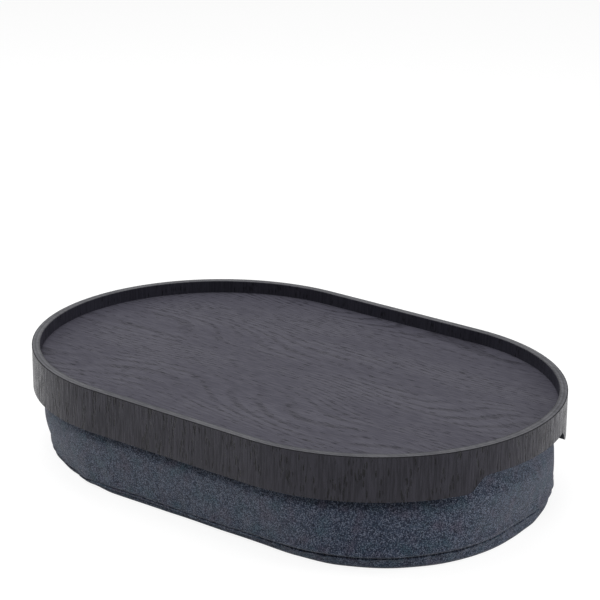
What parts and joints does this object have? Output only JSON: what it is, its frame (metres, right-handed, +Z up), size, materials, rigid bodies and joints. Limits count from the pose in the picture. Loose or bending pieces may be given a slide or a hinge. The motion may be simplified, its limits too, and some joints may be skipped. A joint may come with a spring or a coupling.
{
  "type": "lap tray with cushion",
  "caption": "Stadium-shaped lap tray with a raised bent-wood rim and finger notches, lifting off a bead-filled fabric cushion.",
  "frame": {"origin": "on the surface that the cushion stands on, under the middle of the tray", "axes": "+X along the tray towards the end seen on the right in the picture, +Y to the hidden back side, +Z up"},
  "size_m": [0.5198, 0.344, 0.105],
  "materials": {
    "rim_oak": "satin",
    "rim_inside_oak": "satin",
    "floor_oak": "satin",
    "plywood_edge": "satin",
    "backing_veneer": "matte",
    "hook_tape": "matte",
    "loop_tape": "matte",
    "cover_fabric": "matte",
    "sewing_thread": "matte",
    "liner_fabric": "matte",
    "bead_filling": "matte",
    "zip_tape": "matte",
    "zip_teeth": "satin",
    "zip_metal": "satin"
  },
  "bodies": {
    "cushion": {"cover_top_panel": "cover_fabric", "cover_side_band": "cover_fabric", "cover_bottom_panel": "cover_fabric", "upper_seam_thread": "sewing_thread", "lower_seam_thread": "sewing_thread", "loop_strips": "loop_tape", "inner_bag_upper": "liner_fabric", "inner_bag_lower": "liner_fabric", "bead_filling": "bead_filling", "zip_upper_tape": "zip_tape", "zip_lower_tape": "zip_tape", "zip_upper_teeth": "zip_teeth", "zip_lower_teeth": "zip_teeth", "zip_end_stops": "zip_teeth"},
    "tray": {"rim_core": "plywood_edge", "rim_outer_veneer": "rim_oak", "rim_inner_veneer": "rim_inside_oak", "skirt_inner_veneer": "rim_inside_oak", "floor_core": "plywood_edge", "floor_face_veneer": "floor_oak", "floor_back_veneer": "backing_veneer", "hook_strips": "hook_tape"},
    "slider": {"zip_slider": "zip_metal"},
    "pull": {"zip_pull": "zip_metal"}
  },
  "joints": [
    {"name": "tray_lift", "type": "slide", "parent": "cushion", "child": "tray", "axis": [0, 0, 1], "range_m": [0, 0.12]},
    {"name": "zip_run", "type": "slide", "parent": "cushion", "child": "slider", "axis": [-1, 0, 0], "range_m": [0, 0.1556]},
    {"name": "pull_swing", "type": "hinge", "parent": "slider", "child": "pull", "pos_m": [0.0778, 0.15797, 0.02477], "axis": [0, -0.1157, -0.9933], "range_deg": [0, 180]}
  ]
}
